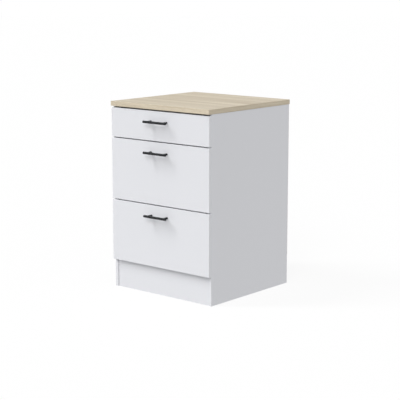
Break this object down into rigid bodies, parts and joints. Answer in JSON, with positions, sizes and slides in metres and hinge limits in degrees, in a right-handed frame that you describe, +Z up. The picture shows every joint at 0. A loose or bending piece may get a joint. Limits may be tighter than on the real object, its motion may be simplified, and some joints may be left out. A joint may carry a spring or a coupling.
{
  "type": "base cabinet with drawers",
  "caption": "Floor-standing kitchen base cabinet: white laminated carcass and drawers on roller runners, black bar handles, plinth board and square light oak worktop.",
  "frame": {"origin": "on the floor, in the middle of the whole width and depth, with the handles and the worktop counted in the depth", "axes": "+Z up, +X to the right seen from the front, +Y from the drawer fronts to the wall; the drawers open towards -Y"},
  "size_m": [0.6, 0.634, 0.895],
  "materials": {
    "white_laminate": "satin",
    "oak_laminate": "matte",
    "white_hardboard": "satin",
    "brown_hardboard": "matte",
    "painted_steel": "satin",
    "nylon": "satin",
    "zinc_steel": "satin",
    "black_steel": "satin"
  },
  "bodies": {
    "carcass": {"side_panel_left": "white_laminate", "side_panel_right": "white_laminate", "bottom_panel": "white_laminate", "plinth_board": "white_laminate", "back_panel": "brown_hardboard", "front_rail": "white_laminate", "rear_rail": "white_laminate", "worktop": "oak_laminate", "worktop_screw_front_left": "zinc_steel", "worktop_screw_front_right": "zinc_steel", "worktop_screw_rear_left": "zinc_steel", "worktop_screw_rear_right": "zinc_steel", "top_carcass_runner_left": "painted_steel", "top_carcass_runner_right": "painted_steel", "middle_carcass_runner_left": "painted_steel", "middle_carcass_runner_right": "painted_steel", "bottom_carcass_runner_left": "painted_steel", "bottom_carcass_runner_right": "painted_steel"},
    "top_drawer": {"top_drawer_front": "white_laminate", "top_drawer_side_left": "white_laminate", "top_drawer_side_right": "white_laminate", "top_drawer_back": "white_laminate", "top_drawer_bottom": "white_hardboard", "top_drawer_handle": "black_steel", "top_drawer_handle_screw_left": "zinc_steel", "top_drawer_handle_screw_right": "zinc_steel", "top_drawer_runner_left": "painted_steel", "top_drawer_runner_right": "painted_steel"},
    "top_carcass_roller_left": {"top_carcass_roller_left": "nylon"},
    "top_drawer_roller_left": {"top_drawer_roller_left": "nylon"},
    "top_carcass_roller_right": {"top_carcass_roller_right": "nylon"},
    "top_drawer_roller_right": {"top_drawer_roller_right": "nylon"},
    "middle_drawer": {"middle_drawer_front": "white_laminate", "middle_drawer_side_left": "white_laminate", "middle_drawer_side_right": "white_laminate", "middle_drawer_back": "white_laminate", "middle_drawer_bottom": "white_hardboard", "middle_drawer_handle": "black_steel", "middle_drawer_handle_screw_left": "zinc_steel", "middle_drawer_handle_screw_right": "zinc_steel", "middle_drawer_runner_left": "painted_steel", "middle_drawer_runner_right": "painted_steel"},
    "middle_carcass_roller_left": {"middle_carcass_roller_left": "nylon"},
    "middle_drawer_roller_left": {"middle_drawer_roller_left": "nylon"},
    "middle_carcass_roller_right": {"middle_carcass_roller_right": "nylon"},
    "middle_drawer_roller_right": {"middle_drawer_roller_right": "nylon"},
    "bottom_drawer": {"bottom_drawer_front": "white_laminate", "bottom_drawer_side_left": "white_laminate", "bottom_drawer_side_right": "white_laminate", "bottom_drawer_back": "white_laminate", "bottom_drawer_bottom": "white_hardboard", "bottom_drawer_handle": "black_steel", "bottom_drawer_handle_screw_left": "zinc_steel", "bottom_drawer_handle_screw_right": "zinc_steel", "bottom_drawer_runner_left": "painted_steel", "bottom_drawer_runner_right": "painted_steel"},
    "bottom_carcass_roller_left": {"bottom_carcass_roller_left": "nylon"},
    "bottom_drawer_roller_left": {"bottom_drawer_roller_left": "nylon"},
    "bottom_carcass_roller_right": {"bottom_carcass_roller_right": "nylon"},
    "bottom_drawer_roller_right": {"bottom_drawer_roller_right": "nylon"}
  },
  "joints": [
    {"name": "top_drawer_slide", "type": "slide", "parent": "carcass", "child": "top_drawer", "axis": [0, -1, 0], "range_m": [0, 0.37]},
    {"name": "top_carcass_roller_left_spin", "type": "hinge", "parent": "carcass", "child": "top_carcass_roller_left", "pos_m": [-0.2776, -0.2497, 0.764], "axis": [1, 0, 0], "continuous": true},
    {"name": "top_drawer_roller_left_spin", "type": "hinge", "parent": "top_drawer", "child": "top_drawer_roller_left", "pos_m": [-0.2776, 0.2243, 0.7615], "axis": [1, 0, 0], "continuous": true},
    {"name": "top_carcass_roller_right_spin", "type": "hinge", "parent": "carcass", "child": "top_carcass_roller_right", "pos_m": [0.2776, -0.2497, 0.764], "axis": [1, 0, 0], "continuous": true},
    {"name": "top_drawer_roller_right_spin", "type": "hinge", "parent": "top_drawer", "child": "top_drawer_roller_right", "pos_m": [0.2776, 0.2243, 0.7615], "axis": [1, 0, 0], "continuous": true},
    {"name": "middle_drawer_slide", "type": "slide", "parent": "carcass", "child": "middle_drawer", "axis": [0, -1, 0], "range_m": [0, 0.37]},
    {"name": "middle_carcass_roller_left_spin", "type": "hinge", "parent": "carcass", "child": "middle_carcass_roller_left", "pos_m": [-0.2776, -0.2497, 0.468], "axis": [1, 0, 0], "continuous": true},
    {"name": "middle_drawer_roller_left_spin", "type": "hinge", "parent": "middle_drawer", "child": "middle_drawer_roller_left", "pos_m": [-0.2776, 0.2243, 0.4655], "axis": [1, 0, 0], "continuous": true},
    {"name": "middle_carcass_roller_right_spin", "type": "hinge", "parent": "carcass", "child": "middle_carcass_roller_right", "pos_m": [0.2776, -0.2497, 0.468], "axis": [1, 0, 0], "continuous": true},
    {"name": "middle_drawer_roller_right_spin", "type": "hinge", "parent": "middle_drawer", "child": "middle_drawer_roller_right", "pos_m": [0.2776, 0.2243, 0.4655], "axis": [1, 0, 0], "continuous": true},
    {"name": "bottom_drawer_slide", "type": "slide", "parent": "carcass", "child": "bottom_drawer", "axis": [0, -1, 0], "range_m": [0, 0.37]},
    {"name": "bottom_carcass_roller_left_spin", "type": "hinge", "parent": "carcass", "child": "bottom_carcass_roller_left", "pos_m": [-0.2776, -0.2497, 0.172], "axis": [1, 0, 0], "continuous": true},
    {"name": "bottom_drawer_roller_left_spin", "type": "hinge", "parent": "bottom_drawer", "child": "bottom_drawer_roller_left", "pos_m": [-0.2776, 0.2243, 0.1695], "axis": [1, 0, 0], "continuous": true},
    {"name": "bottom_carcass_roller_right_spin", "type": "hinge", "parent": "carcass", "child": "bottom_carcass_roller_right", "pos_m": [0.2776, -0.2497, 0.172], "axis": [1, 0, 0], "continuous": true},
    {"name": "bottom_drawer_roller_right_spin", "type": "hinge", "parent": "bottom_drawer", "child": "bottom_drawer_roller_right", "pos_m": [0.2776, 0.2243, 0.1695], "axis": [1, 0, 0], "continuous": true}
  ],
  "couplings": [
    {"joint": "top_carcass_roller_left_spin", "follows": "top_drawer_slide", "rad_per_m": 105.26},
    {"joint": "top_drawer_roller_left_spin", "follows": "top_drawer_slide", "rad_per_m": 105.26},
    {"joint": "top_carcass_roller_right_spin", "follows": "top_drawer_slide", "rad_per_m": 105.26},
    {"joint": "top_drawer_roller_right_spin", "follows": "top_drawer_slide", "rad_per_m": 105.26},
    {"joint": "middle_carcass_roller_left_spin", "follows": "middle_drawer_slide", "rad_per_m": 105.26},
    {"joint": "middle_drawer_roller_left_spin", "follows": "middle_drawer_slide", "rad_per_m": 105.26},
    {"joint": "middle_carcass_roller_right_spin", "follows": "middle_drawer_slide", "rad_per_m": 105.26},
    {"joint": "middle_drawer_roller_right_spin", "follows": "middle_drawer_slide", "rad_per_m": 105.26},
    {"joint": "bottom_carcass_roller_left_spin", "follows": "bottom_drawer_slide", "rad_per_m": 105.26},
    {"joint": "bottom_drawer_roller_left_spin", "follows": "bottom_drawer_slide", "rad_per_m": 105.26},
    {"joint": "bottom_carcass_roller_right_spin", "follows": "bottom_drawer_slide", "rad_per_m": 105.26},
    {"joint": "bottom_drawer_roller_right_spin", "follows": "bottom_drawer_slide", "rad_per_m": 105.26}
  ]
}
